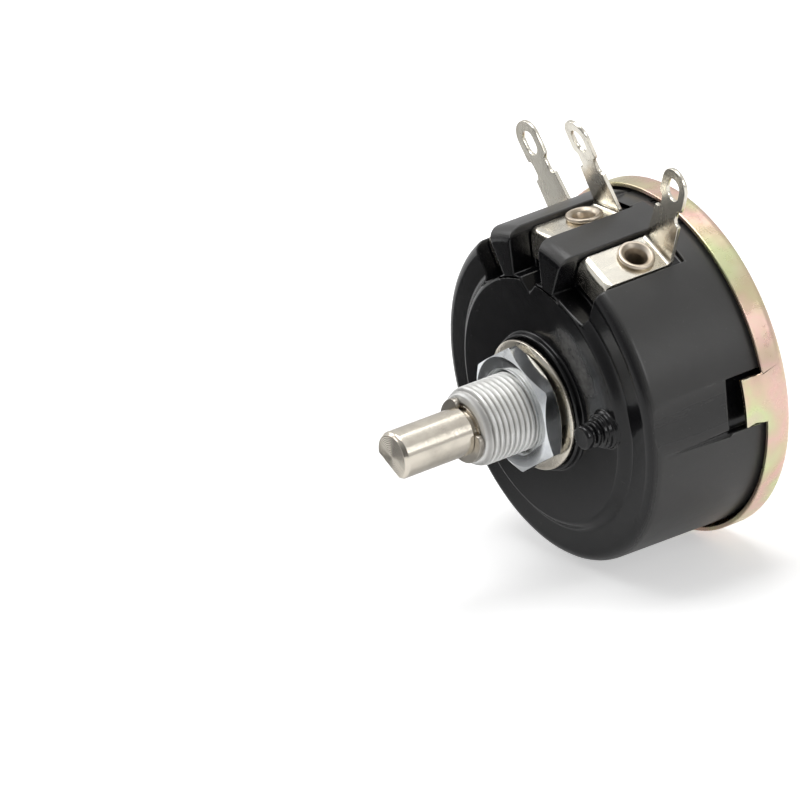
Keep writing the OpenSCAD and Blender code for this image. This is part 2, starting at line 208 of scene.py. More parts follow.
def turned(name, profile, steps=192, start=0.0, end=360.0, axis=(0, 0)):
    """Turns a closed outline of (radius, depth) round the shaft's direction at axis (x, z)."""
    whole = end - start >= 360
    count = steps if whole else steps + 1
    bm = bmesh.new()
    rings = []
    for i in range(count):
        a = math.radians(start + (end - start) * i / steps)
        rings.append([bm.verts.new(((axis[0] + r * math.cos(a)) * MM, y * MM,
                                    (axis[1] + r * math.sin(a)) * MM))
                      for r, y in profile])
    n = len(profile)
    for i in range(count if whole else count - 1):
        here, there = rings[i], rings[(i + 1) % count]
        for j in range(n):
            k = (j + 1) % n
            if profile[j][0] < 1e-6 and profile[k][0] < 1e-6:
                continue
            corners = [here[j], here[k], there[k], there[j]]
            if profile[j][0] < 1e-6:
                corners = [here[j], here[k], there[k]]
            elif profile[k][0] < 1e-6:
                corners = [here[j], here[k], there[j]]
            bm.faces.new(corners)
    if not whole:
        bm.faces.new(rings[0])
        bm.faces.new(list(reversed(rings[-1])))
    return baked(name, bm)


def box_mesh(name, x, y, z, angle):
    """A box between the given limits on +X, swung to an angle round the shaft's axis."""
    bm = bmesh.new()
    bmesh.ops.create_cube(bm, size=1)
    c, s = math.cos(math.radians(angle)), math.sin(math.radians(angle))
    for v in bm.verts:
        px, py, pz = (limits[co > 0] for limits, co in zip((x, y, z), v.co))
        v.co = ((px * c - pz * s) * MM, py * MM, (px * s + pz * c) * MM)
    return baked(name, bm)


def swing(mesh, angle):
    """Turns a mesh made on +X round the shaft's axis."""
    mesh.transform(Matrix.Rotation(-math.radians(angle), 4, "Y"))
    return mesh


def raised(mesh):
    """Stands a turned rivet up along +X, at the rivets' depth."""
    place = Matrix.Translation((0, RIVET_DEPTH * MM, 0))
    mesh.transform(place @ Matrix.Rotation(-math.pi / 2, 4, "Z"))
    return mesh


def drawn_out(name, points, way):
    """A closed outline of points drawn out along a way, all in millimetres."""
    bm = bmesh.new()
    near = bm.faces.new([bm.verts.new([c * MM for c in p]) for p in points])
    far = bmesh.ops.extrude_face_region(bm, geom=[near])["geom"]
    moved = [v for v in far if isinstance(v, bmesh.types.BMVert)]
    bmesh.ops.translate(bm, vec=[c * MM for c in way], verts=moved)
    return baked(name, bm)


def bar_mesh(name, outline, z, angle):
    """An outline of (x, y) drawn out across z between two limits, swung round the axis."""
    bar = drawn_out(name, [(x, y, z[0]) for x, y in outline], (0, 0, z[1] - z[0]))
    return swing(bar, angle)


def loose_object(name, mesh):
    obj = bpy.data.objects.new(name, mesh)
    bpy.context.scene.collection.objects.link(obj)
    return obj


def plain_mesh(obj, name):
    """The object's evaluated result as a plain mesh, with its modifiers removed."""
    bpy.context.view_layer.update()
    graph = bpy.context.evaluated_depsgraph_get()
    mesh = bpy.data.meshes.new_from_object(obj.evaluated_get(graph))
    mesh.name = name
    obj.modifiers.clear()
    obj.data = mesh
    return mesh


def carve(obj, tools):
    """Cuts or joins other meshes into obj: tools are (operation, mesh)."""
    helpers = []
    for operation, mesh in tools:
        helper = loose_object("cutter", mesh)
        helper.hide_render = True
        mod = obj.modifiers.new("carve", "BOOLEAN")
        mod.operation, mod.solver, mod.object = operation, "EXACT", helper
        helpers.append(helper)
    plain_mesh(obj, obj.name)
    for helper in helpers:
        bpy.data.objects.remove(helper)
    bm = bmesh.new()
    bm.from_mesh(obj.data)
    bmesh.ops.remove_doubles(bm, verts=bm.verts, dist=2e-6)
    bmesh.ops.dissolve_limit(bm, angle_limit=math.radians(0.2), verts=bm.verts, edges=bm.edges)
    bm.to_mesh(obj.data)
    bm.free()
    return obj


def round_walls(mesh, radius):
    """Gives the faces on a turned wall the normals of a true cylinder."""
    mesh.update()
    normals = [Vector(n.vector) for n in mesh.corner_normals]
    for face in mesh.polygons:
        for loop in face.loop_indices:
            here = mesh.vertices[mesh.loops[loop].vertex_index].co
            out = Vector((here.x, 0, here.z))
            if out.length < radius * MM or abs(face.normal.y) > 0.02:
                continue
            out.normalize()
            if out.dot(face.normal) > 0.995:
                normals[loop] = out
    mesh.normals_split_custom_set(normals)


def flat_faces(mesh, least):
    """Gives every flat area of at least so many square millimetres one normal."""
    areas = {}
    for face in mesh.polygons:
        key = tuple(round(c, 2)
                    for c in face.normal) + (round(face.normal.dot(face.center) / MM, 1),)
        areas.setdefault(key, []).append(face)
    mesh.update()
    normals = [Vector(n.vector) for n in mesh.corner_normals]
    for faces in areas.values():
        if sum(face.area for face in faces) > least * MM * MM:
            for face in faces:
                for loop in face.loop_indices:
                    normals[loop] = face.normal.copy()
    mesh.normals_split_custom_set(normals)


def shallow_edge(middle):
    """True on the edges of the shallow flats and grooves that lead to the cover's tabs."""
    least_out, before_pocket = 20.2, 13.3
    for angle in TAB_ANGLES:
        c, s = math.cos(math.radians(angle)), math.sin(math.radians(angle))
        out, side = (middle.x * c + middle.z * s) / MM, (middle.z * c - middle.x * s) / MM
        at_edge = 3.3 < side < 3.6 or -3.9 < side < -2.7
        if at_edge and out > least_out and middle.y < before_pocket * MM:
            return True
    return False


def soften(obj, edge, limit, segments=2, leave=None):
    """Rounds the edges of a piece that are sharper than the limit, but for those to leave."""
    bm = bmesh.new()
    bm.from_mesh(obj.data)
    layers = bm.edges.layers.float
    weight = layers.get("bevel_weight_edge") or layers.new("bevel_weight_edge")
    for e in bm.edges:
        keen = len(e.link_faces) == 2 and e.calc_face_angle() > math.radians(limit)
        left = leave and leave((e.verts[0].co + e.verts[1].co) / 2)
        e[weight] = 1.0 if keen and not left else 0.0
    bm.to_mesh(obj.data)
    bm.free()
    mod = obj.modifiers.new("edges", "BEVEL")
    mod.width, mod.segments = edge * MM, segments
    mod.limit_method = "WEIGHT"
    mod.use_clamp_overlap = False
    mod.harden_normals = False
    plain_mesh(obj, obj.name)


def finished(obj, material, body, replaces, edge=0.0, limit=32, sharp=0, wall=0.0, flat=0.0):
    """Rounds the edges of a piece, shades it and hands it to its body."""
    if edge:
        soften(obj, edge, limit)
    obj.data.shade_smooth()
    obj.data.set_sharp_from_angle(angle=math.radians(sharp or (48 if edge else 35)))
    mod = obj.modifiers.new("shading", "WEIGHTED_NORMAL")
    mod.keep_sharp, mod.weight = True, 60
    plain_mesh(obj, obj.name)
    if wall:
        round_walls(obj.data, wall)
    if flat:
        flat_faces(obj.data, flat)
    obj.data.materials.clear()
    obj.data.materials.append(material)
    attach(obj, body)
    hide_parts(*replaces)


# ---------------------------------------------------------------- shader groups


def group_sockets(tree, ins, outs):
    for name, kind, value in ins:
        socket = tree.interface.new_socket(name=name, in_out="INPUT", socket_type=kind)
        if value is not None:
            socket.default_value = value
    for name, kind in outs:
        tree.interface.new_socket(name=name, in_out="OUTPUT", socket_type=kind)
    return tree.nodes.new("NodeGroupInput"), tree.nodes.new("NodeGroupOutput")


def node(tree, kind, **values):
    """Adds a node; values name its properties, or else its inputs."""
    made = tree.nodes.new(kind)
    for key, value in values.items():
        if hasattr(made, key):
            setattr(made, key, value)
        else:
            made.inputs[key].default_value = value
    return made


def maths(tree, operation, a, b=None, clamp=False):
    made = tree.nodes.new("ShaderNodeMath")
    made.operation, made.use_clamp = operation, clamp
    for i, value in enumerate((a, b)):
        if value is None:
            continue
        if isinstance(value, (int, float)):
            made.inputs[i].default_value = value
        else:
            tree.links.new(value, made.inputs[i])
    return made.outputs[0]


def times(tree, a, b, clamp=False):
    return maths(tree, "MULTIPLY", a, b, clamp)


def plus(tree, a, b, clamp=False):
    return maths(tree, "ADD", a, b, clamp)


def spread(tree, value, low, high, to_low=0.0, to_high=1.0):
    """Maps low..high to to_low..to_high, clamped."""
    made = tree.nodes.new("ShaderNodeMapRange")
    tree.links.new(value, made.inputs["Value"])
    for key, number in (("From Min", low), ("From Max", high), ("To Min", to_low),
                        ("To Max", to_high)):
        made.inputs[key].default_value = number
    return made.outputs["Result"]


def noise(tree, vector, scale, detail=4.0, rough=0.55):
    made = node(tree, "ShaderNodeTexNoise", Scale=scale, Detail=detail, Roughness=rough)
    tree.links.new(vector, made.inputs["Vector"])
    return made.outputs["Fac"]


def edge_wear_group():
    """Mask of rubbed edges: where a rounded normal leaves the true one, broken up by noise."""
    name = "Edge wear"
    if name in bpy.data.node_groups:
        return bpy.data.node_groups[name]
    tree = bpy.data.node_groups.new(name, "ShaderNodeTree")
    gi, go = group_sockets(tree,
                           [("Vector", "NodeSocketVector", None),
                            ("Width", "NodeSocketFloat", 0.0003),
                                  ("Amount", "NodeSocketFloat", 0.6),
                            ("Break-up Scale", "NodeSocketFloat", 900.0)],
                           [("Mask", "NodeSocketFloat")])
    bevel = node(tree, "ShaderNodeBevel", samples=6)
    tree.links.new(gi.outputs["Width"], bevel.inputs["Radius"])
    geo = tree.nodes.new("ShaderNodeNewGeometry")
    dot = node(tree, "ShaderNodeVectorMath", operation="DOT_PRODUCT")
    tree.links.new(bevel.outputs[0], dot.inputs[0])
    tree.links.new(geo.outputs["Normal"], dot.inputs[1])
    away = spread(tree, dot.outputs["Value"], 0.995, 0.90)
    n = node(tree, "ShaderNodeTexNoise", Detail=5.0, Roughness=0.65)
    tree.links.new(gi.outputs["Vector"], n.inputs["Vector"])
    tree.links.new(gi.outputs["Break-up Scale"], n.inputs["Scale"])
    broken = spread(tree, n.outputs["Fac"], 0.42, 0.62)
    mask = times(tree, away, broken)
    tree.links.new(times(tree, mask, gi.outputs["Amount"], True), go.inputs["Mask"])
    return tree


def smudge_group():
    """Cloudy patches and fine streaks, as masks from 0 to 1."""
    name = "Smudges"
    if name in bpy.data.node_groups:
        return bpy.data.node_groups[name]
    tree = bpy.data.node_groups.new(name, "ShaderNodeTree")
    gi, go = group_sockets(tree,
                           [("Vector", "NodeSocketVector", None),
                            ("Patch Scale", "NodeSocketFloat", 160.0),
                                  ("Streak Scale", "NodeSocketFloat", 900.0)],
                           [("Patches", "NodeSocketFloat"), ("Streaks", "NodeSocketFloat"),
                            ("Fine", "NodeSocketFloat")])
    for key, out, low, high, stretch in (("Patch Scale", "Patches", 0.45, 0.68, (1, 1, 1)),
                                         ("Streak Scale", "Streaks", 0.52, 0.72, (1, 0.08, 0.35))):
        place = node(tree, "ShaderNodeMapping")
        place.inputs["Scale"].default_value = stretch
        tree.links.new(gi.outputs["Vector"], place.inputs["Vector"])
        n = node(tree, "ShaderNodeTexNoise", Detail=6.0, Roughness=0.6)
        tree.links.new(place.outputs[0], n.inputs["Vector"])
        tree.links.new(gi.outputs[key], n.inputs["Scale"])
        tree.links.new(spread(tree, n.outputs["Fac"], low, high), go.inputs[out])
    fine = noise(tree, gi.outputs["Vector"], 2600.0, 3.0)
    tree.links.new(fine, go.inputs["Fine"])
    return tree


def axis_distance(tree, vector):
    """Distance from the shaft's axis, in metres, and the node with the place's three parts."""
    parts = tree.nodes.new("ShaderNodeSeparateXYZ")
    tree.links.new(vector, parts.inputs[0])
    x2 = times(tree, parts.outputs["X"], parts.outputs["X"])
    z2 = times(tree, parts.outputs["Z"], parts.outputs["Z"])
    return maths(tree, "SQRT", plus(tree, x2, z2)), parts


def new_material(name):
    mat = bpy.data.materials.new(name)
    mat.use_nodes = True
    tree = mat.node_tree
    tree.nodes.clear()
    out = tree.nodes.new("ShaderNodeOutputMaterial")
    shader = tree.nodes.new("ShaderNodeBsdfPrincipled")
    tree.links.new(shader.outputs[0], out.inputs[0])
    coords = tree.nodes.new("ShaderNodeTexCoord").outputs["Object"]
    return mat, tree, shader, coords


def use_group(tree, group, vector, **values):
    made = tree.nodes.new("ShaderNodeGroup")
    made.node_tree = group
    tree.links.new(vector, made.inputs["Vector"])
    for key, value in values.items():
        made.inputs[key.replace("_", " ")].default_value = value
    return made.outputs


def mixed(tree, factor, a, b):
    made = tree.nodes.new("ShaderNodeMix")
    made.data_type = "RGBA"
    for key, value in (("A", a), ("B", b)):
        socket = [s for s in made.inputs if s.name == key and s.type == "RGBA"][0]
        if isinstance(value, bpy.types.NodeSocket):
            tree.links.new(value, socket)
        else:
            socket.default_value = tuple(value)
    if isinstance(factor, (int, float)):
        made.inputs[0].default_value = factor
    else:
        tree.links.new(factor, made.inputs[0])
    return [s for s in made.outputs if s.type == "RGBA"][0]


def bump(tree, height, strength, distance, shader):
    made = node(tree, "ShaderNodeBump", Strength=strength, Distance=distance)
    tree.links.new(height, made.inputs["Height"])
    tree.links.new(made.outputs[0], shader.inputs["Normal"])


# ---------------------------------------------------------------- finishes


def bakelite_finish():
    """Glossy black phenolic, dusty in patches, grey where edges are rubbed, and lighter on the side
    wall: partly a thin dust film, partly painted light for the brighter lit side.
    """
    f = finish_values()
    dust_way, dust_radius = (0.755, 0.656), 0.0113
    mat, tree, shader, coords = new_material("Bakelite")
    smudge = use_group(tree, smudge_group(), coords, Patch_Scale=150.0, Streak_Scale=1500.0)
    worn = rubbed_edges(tree, coords, 0.00035, f.wear, 700.0)
    radius, parts = axis_distance(tree, coords)
    # a rubbed, dusty patch lies beside the boss; the side wall is lightened, partly as a thin dust
    # film and partly as painted light for its brighter lit side
    toward = plus(tree, times(tree, parts.outputs["X"], dust_way[0]),
                  times(tree, parts.outputs["Z"], dust_way[1]))
    near = times(tree, spread(tree, maths(tree, "DIVIDE", toward, radius), 0.90, 0.975),
                 spread(tree, maths(tree, "ABSOLUTE", maths(tree, "SUBTRACT", radius, dust_radius)),
                        0.0022, 0.0006))
    front = spread(tree, parts.outputs["Y"], 0.0014, 0.0010)
    dust = times(tree, times(tree, near, front),
                 spread(tree, noise(tree, coords, 500.0, 8.0, 0.75), 0.34, 0.66))
    speck = spread(tree, noise(tree, coords, 3200.0, 2.0), 0.70, 0.76)
    # painted light: the side wall's colour is lifted towards the dust colour, partly a dust film,
    # partly standing in for the fill light on that side
    side = spread(tree, radius, 0.0203, 0.0209, 0.0, 0.32)
    painted_side_light_and_film = plus(tree, side, times(tree, smudge["Patches"], 0.02))
    total = maths(tree, "MAXIMUM", times(tree, dust, 0.9), times(tree, worn, 0.55))
    total = plus(tree, total, plus(tree, painted_side_light_and_film, times(tree, speck, 0.18)), True)
    total = times(tree, total, f.wear + 0.4, True)
    tree.links.new(mixed(tree, total, f.bakelite, f.bakelite_dust_and_side_light), shader.inputs["Base Color"])
    rough = plus(tree, times(tree, total, 0.5), times(tree, smudge["Streaks"], 0.03))
    tree.links.new(plus(tree, rough, 0.17, True), shader.inputs["Roughness"])
    shader.inputs["Specular IOR Level"].default_value = 0.4
    height = plus(tree, noise(tree, coords, 260.0, 3.0), times(tree, smudge["Fine"], 0.12))
    bump(tree, height, 0.25, 0.00012, shader)
    return mat


def rubbed_edges(tree, coords, width, amount, scale):
    outs = use_group(tree, edge_wear_group(), coords, Width=width, Amount=amount)
    outs[0].node.inputs["Break-up Scale"].default_value = scale
    return outs["Mask"]


def plated_finish(name, colour, dull, roughness, patch, rings=0.0, along=0.0, metallic=1.0,
                  groove=0.0):
    """Plated metal: fine turned or drawn lines, cloudy roughness and duller patches, and, given a
    groove radius, painted shade in the thread's bottoms.
    """
    mat, tree, shader, coords = new_material(name)
    smudge = use_group(tree, smudge_group(), coords, Patch_Scale=260.0, Streak_Scale=1400.0)
    shader.inputs["Metallic"].default_value = metallic
    tone = times(tree, smudge["Patches"], 0.55)
    shade = mixed(tree, tone, colour, dull)
    if groove:
        # painted shade: the bottoms of the thread are darkened, from the groove's radius inwards
        radius = axis_distance(tree, coords)[0]
        painted_groove_shade = times(tree, spread(tree, radius, groove, groove - 0.0002),
                     spread(tree, radius, 0.0042, 0.0045))
        shade = mixed(tree, times(tree, painted_groove_shade, 0.5), shade, (0.16, 0.15, 0.14, 1))
    tree.links.new(shade, shader.inputs["Base Color"])
    rough = plus(tree, times(tree, smudge["Patches"], patch),
                 times(tree, smudge["Streaks"], patch * 0.6))
    tree.links.new(plus(tree, rough, roughness, True), shader.inputs["Roughness"])
    height = times(tree, smudge["Fine"], 0.25)
    if rings:
        ring_gap = 0.00022
        radius = axis_distance(tree, coords)[0]
        wave = maths(tree, "SINE", times(tree, radius, TAU / ring_gap))
        height = plus(tree, height, times(tree, wave, rings))
    if along:
        parts = tree.nodes.new("ShaderNodeSeparateXYZ")
        tree.links.new(coords, parts.inputs[0])
        lines = node(tree, "ShaderNodeTexNoise", noise_dimensions="1D", Scale=9000.0, Detail=3.0)
        tree.links.new(parts.outputs["Y"], lines.inputs["W"])
        height = plus(tree, height, times(tree, lines.outputs["Fac"], along))
    bump(tree, height, 0.3, 0.00004, shader)
    return mat


def passivate_finish():
    """Yellow passivated zinc with drifting pink and green tints."""
    f = finish_values()
    mat, tree, shader, coords = new_material("Yellow passivate")
    shader.inputs["Metallic"].default_value = 1.0
    drift = noise(tree, coords, 95.0, 3.0, 0.5)
    ramp = tree.nodes.new("ShaderNodeValToRGB")
    stops = ramp.color_ramp.elements
    stops[0].position, stops[0].color = 0.30, (0.78, 0.82, 0.46, 1)
    stops[1].position, stops[1].color = 0.72, (0.78, 0.70, 0.52, 1)
    for place, colour in ((0.42, tuple(f.passivate)), (0.50, (0.90, 0.60, 0.52, 1)),
                          (0.58, (0.80, 0.66, 0.46, 1)), (0.65, (0.74, 0.80, 0.44, 1))):
        stop = stops.new(place)
        stop.color = colour
    tree.links.new(drift, ramp.inputs[0])
    smudge = use_group(tree, smudge_group(), coords, Patch_Scale=240.0, Streak_Scale=1200.0)
    worn = rubbed_edges(tree, coords, 0.0003, 1.0, 300.0)
    tinted = mixed(tree, times(tree, smudge["Patches"], 0.25), ramp.outputs[0],
                   (0.80, 0.76, 0.62, 1))
    tree.links.new(mixed(tree, worn, tinted, (0.95, 0.90, 0.74, 1)), shader.inputs["Base Color"])
    rough = plus(tree, times(tree, smudge["Patches"], 0.14), times(tree, smudge["Streaks"], 0.12))
    tree.links.new(plus(tree, rough, 0.24, True), shader.inputs["Roughness"])
    bump(tree, plus(tree, times(tree, smudge["Fine"], 0.3), noise(tree, coords, 500.0, 3.0)), 0.2,
         0.00006, shader)
    return mat


def fibre_finish(name, colour, dark, scale=900.0, roughness=0.6):
    """Pressed board, varnished fibre or brown moulding: flecked and slightly uneven."""
    mat, tree, shader, coords = new_material(name)
    fleck = spread(tree, noise(tree, coords, scale, 6.0, 0.7), 0.35, 0.7)
    tree.links.new(mixed(tree, fleck, colour, dark), shader.inputs["Base Color"])
    tree.links.new(plus(tree, times(tree, fleck, 0.15), roughness, True),
                   shader.inputs["Roughness"])
    bump(tree, fleck, 0.25, 0.00005, shader)
    return mat


_finishes = {}


def finish_of(name):
    """Each finish is built once, the first time a piece asks for it."""
    if name not in _finishes:
        f = finish_values()
        grey = (0.42, 0.40, 0.37, 1)
        makers = {
            "bakelite": bakelite_finish,
            "cover": passivate_finish,
            "shaft": lambda: plated_finish("Shaft nickel", f.nickel, (0.55, 0.50, 0.43, 1), 0.16,
                                           0.10, rings=0.6, along=0.5),
            "ring": lambda: plated_finish("Ring nickel", (0.46, 0.43, 0.38, 1),
                                          (0.24, 0.22, 0.19, 1), 0.28, 0.15),
            "washer": lambda: plated_finish("Washer nickel", (0.72, 0.67, 0.58, 1),
                                            (0.45, 0.40, 0.33, 1), 0.22, 0.14),
            # the bush's groove radius gives its thread bottoms painted shade
            "bush": lambda: plated_finish("Bush zinc", (0.95, 0.95, 0.93, 1), (0.76, 0.75, 0.72, 1),
                                          0.48, 0.12, metallic=0.75, groove=0.00485),
            "nut": lambda: plated_finish("Nut zinc", f.zinc, (0.50, 0.54, 0.60, 1), 0.14, 0.10),
            "terminal": lambda: plated_finish("Terminal tin", f.tin, (0.52, 0.47, 0.40, 1), 0.20,
                                              0.12),
            "eyelet": lambda: plated_finish("Eyelet nickel", (0.68, 0.59, 0.48, 1), grey, 0.36,
                                            0.14),
            "wire": lambda: plated_finish("Resistance wire", (0.42, 0.33, 0.26, 1),
                                          (0.25, 0.20, 0.16, 1), 0.32, 0.10),
            "brass": lambda: plated_finish("Clip brass", (0.78, 0.58, 0.28, 1),
                                           (0.45, 0.32, 0.16, 1), 0.28, 0.12),
            "bronze": lambda: plated_finish("Spring bronze", (0.76, 0.50, 0.28, 1),
                                            (0.42, 0.26, 0.14, 1), 0.26, 0.12),
            "brush": lambda: plated_finish("Sintered brush", (0.48, 0.30, 0.20, 1),
                                           (0.2, 0.13, 0.1, 1), 0.5, 0.2),
            "card": lambda: fibre_finish("Winding card", (0.30, 0.16, 0.08, 1),
                                         (0.16, 0.08, 0.04, 1)),
            "liner": lambda: fibre_finish("Varnished fibre", (0.50, 0.42, 0.26, 1),
                                          (0.36, 0.28, 0.16, 1), 700.0, 0.5),
            "hub": lambda: fibre_finish("Brown phenolic", (0.12, 0.05, 0.025, 1),
                                        (0.06, 0.025, 0.012, 1), 500.0, 0.28),
        }
        _finishes[name] = makers[name]()
    return _finishes[name]


# ---------------------------------------------------------------- pieces


def sheet_strip(name, path, outline, holes, thickness):
    """Bends a flat outline (run along the path, width) along a path of points and normals.

    path gives (run, x, y, normal x, normal y) rows; the sheet lies half to each side."""
    bm = bmesh.new()
    loops = [outline] + holes
    edges = []
    for loop in loops:
        verts = [bm.verts.new((s, w, 0)) for s, w in loop]
        edges += [bm.edges.new((verts[i], verts[(i + 1) % len(verts)])) for i in range(len(verts))]
    bmesh.ops.triangle_fill(bm, use_beauty=True, use_dissolve=False, edges=edges)
    for row in path[1:-1]:
        bmesh.ops.bisect_plane(bm, geom=bm.verts[:] + bm.edges[:] + bm.faces[:],
                               plane_co=(row[0], 0, 0), plane_no=(1, 0, 0))
    bmesh.ops.remove_doubles(bm, verts=bm.verts, dist=1e-4)
    runs = np.array([r[0] for r in path])
    cols = [np.array([r[i] for r in path]) for i in range(1, 5)]
    flat = list(bm.verts)
    back = bmesh.ops.duplicate(bm, geom=bm.verts[:] + bm.edges[:] + bm.faces[:])
    twin = {v: back["vert_map"][v] for v in flat}
    rim = [e for e in bm.edges if e.verts[0] in twin and e.verts[1] in twin
           and len(e.link_faces) == 1]
    for e in rim:
        a, b = e.verts
        bm.faces.new((a, b, twin[b], twin[a]))
    for v, w in twin.items():
        s, width = v.co.x, v.co.y
        x, y, nx, ny = (float(np.interp(s, runs, c)) for c in cols)
        length = math.hypot(nx, ny)
        nx, ny = nx / length, ny / length
        v.co = ((x + nx * thickness / 2) * MM, (y + ny * thickness / 2) * MM, width * MM)
        w.co = ((x - nx * thickness / 2) * MM, (y - ny * thickness / 2) * MM, width * MM)
    bmesh.ops.dissolve_limit(bm, angle_limit=math.radians(0.3), verts=bm.verts, edges=bm.edges)
    return baked(name, bm, 1e-8)


def terminal_mesh(name, angle, lean, length):
    """Leg, strip, bend and leaning lug of one terminal, in one piece of sheet."""
    bend_radius, shoulder_bend, lug_bend = 0.75, (19.7, 4.75), (21.2, 12.75)
    path, run = [], 0.0

    def add(x, y, nx, ny):
        nonlocal run
        if path:
            run += math.hypot(x - path[-1][1], y - path[-1][2])
        path.append((run, x, y, nx, ny))

    def add_bend(centre, start, end, steps, sign):
        for k in range(steps + 1):
            a = math.radians(start + (end - start) * k / steps)
            c, s = math.cos(a), math.sin(a)
            add(centre[0] + bend_radius * c, centre[1] + bend_radius * s, sign * c, sign * s)

    add(16.9, 3.75 + SHEET / 2, 0, -1)
    add_bend(shoulder_bend, -90, 0, 6, 1)
    bend = run
    add_bend(lug_bend, 180, 90 - lean, 8, -1)
    root = run
    a = math.radians(lean)
    x, y = path[-1][1:3]
    reach = (20.7 + length - x) / math.cos(a)
    add(x + reach * math.cos(a), y - reach * math.sin(a), -math.sin(a), -math.cos(a))
    tip = run
    eye, neck, half = 2.2, 1.5, 2.6
    shoulder, tail = tip - 7.3, tip - 4.9
    side = [(0.0, half), (root - 0.3, half), (root + 0.4, half - 0.1), (shoulder, 2.3),
            (shoulder + 0.1, neck + 0.25), (shoulder + 0.5, neck),
            (tail - 0.5, neck), (tail - 0.1, neck + 0.2), (tail, eye - 0.1), (tail + 0.8, eye)]
    cap = arc((tip - eye, 0), eye, 90, -90, 24)
    outline = side + cap + [(s, -w) for s, w in reversed(side)]
    hole_root, hole_tip, hole_radius = tip - 3.3, tip - 2.4, 1.1
    hole = arc((hole_tip, 0), hole_radius, 90, -90, 12)
    hole += arc((hole_root, 0), hole_radius, -90, -270, 12)
    rivet = bend + RIVET_DEPTH - shoulder_bend[1]
    round_hole = arc((rivet, 0), RIVET_RADIUS, 0, 360, 32)[:-1]
    return swing(sheet_strip(name, path, outline, [hole, round_hole], SHEET), angle)


class RHEOSTAT_OT_terminals(bpy.types.Operator):
    """Bends the three terminals out of tinned sheet"""

    bl_idname = "rheostat.terminals"
    bl_label = "Terminals"

    def execute(self, context):
        for side, angle, lean, length in TERMINALS:
            name = "terminal_strip_" + side
            obj = loose_object(name, terminal_mesh(name, angle, lean, length))
            finished(obj, finish_of("terminal"), "body", ["terminal_" + side],
                     edge=0.07, limit=50, sharp=60, flat=2.0)
        return {"FINISHED"}


def copies_tree(name, piece, count, finish):
    """Geometry nodes: copies of a piece, a step apart on an arc round the shaft."""
    tree = bpy.data.node_groups.new(name, "GeometryNodeTree")
    ins = [("Geometry", "NodeSocketGeometry", None), (piece, "NodeSocketObject", None),
           (count, "NodeSocketInt", 3), ("Step", "NodeSocketFloat", 0.1),
           ("First", "NodeSocketFloat", 0.0), (finish, "NodeSocketMaterial", None)]
    gi, go = group_sockets(tree, ins, [("Geometry", "NodeSocketGeometry")])
    points = tree.nodes.new("GeometryNodePoints")
    index = tree.nodes.new("GeometryNodeInputIndex")
    turn = tree.nodes.new("ShaderNodeCombineXYZ")
    info = tree.nodes.new("GeometryNodeObjectInfo")
    placed = tree.nodes.new("GeometryNodeInstanceOnPoints")
    real = tree.nodes.new("GeometryNodeRealizeInstances")
    coat = tree.nodes.new("GeometryNodeSetMaterial")
    angle = plus(tree, times(tree, index.outputs[0], gi.outputs["Step"]), gi.outputs["First"])
    for source, target in ((gi.outputs[count], points.inputs["Count"]),
                           (times(tree, angle, -1.0), turn.inputs["Y"]),
                           (gi.outputs[piece], info.inputs["Object"]),
                           (points.outputs[0], placed.inputs["Points"]),
                           (info.outputs["Geometry"], placed.inputs["Instance"]),
                           (turn.outputs[0], placed.inputs["Rotation"]),
                           (placed.outputs[0], real.inputs[0]),
                           (real.outputs[0], coat.inputs["Geometry"]),
                           (gi.outputs[finish], coat.inputs["Material"]),
                           (coat.outputs[0], go.inputs["Geometry"])):
        tree.links.new(source, target)
    return tree


def grown(name, tree, values):
    """Runs a geometry nodes tree on an empty mesh and keeps the result as a plain mesh."""
    obj = loose_object(name, bpy.data.meshes.new(name))
    mod = obj.modifiers.new("grow", "NODES")
    mod.node_group = tree
    keys = {item.name: item.identifier for item in tree.interface.items_tree
            if item.item_type == "SOCKET" and item.in_out == "INPUT"}
    for key, value in values.items():
        mod[keys[key]] = value
    plain_mesh(obj, name)
    return obj


class RHEOSTAT_OT_eyelets(bpy.types.Operator):
    """Sets a flared tubular rivet in each terminal"""

    bl_idname = "rheostat.eyelets"
    bl_label = "Eyelets"

    def execute(self, context):
        lip = sizes().lip_flare
        top = 20.95 + lip
        outline = rounded([(1.2, 17.65, 0.1), (2.0, 17.65, 0.1), (2.0, 17.9, 0.1), (1.68, 17.97),
                           (1.68, 20.68), (2.05, 20.72, 0.1),
                           (2.32, top - 0.35, 0.2), (2.2, top, 0.18), (1.85, top, 0.2),
                           (1.4, top - 0.35, 0.5), (1.2, 20.2, 0.6)], 5)
        pattern = loose_object("rivet_pattern", raised(turned("rivet", outline, 64)))
        pattern.hide_render = True
        obj = grown("eyelets", copies_tree("Rivets", "Rivet", "Rivets", "Metal"),
                    {"Rivet": pattern, "Rivets": len(TERMINALS), "Metal": finish_of("eyelet"),
                     "Step": math.radians(TERMINAL_STEP), "First": math.radians(TERMINALS[0][1])})
        bpy.data.objects.remove(pattern)
        finished(obj, finish_of("eyelet"), "body",
                 ["eyelet_right", "eyelet_centre", "eyelet_left"])
        return {"FINISHED"}


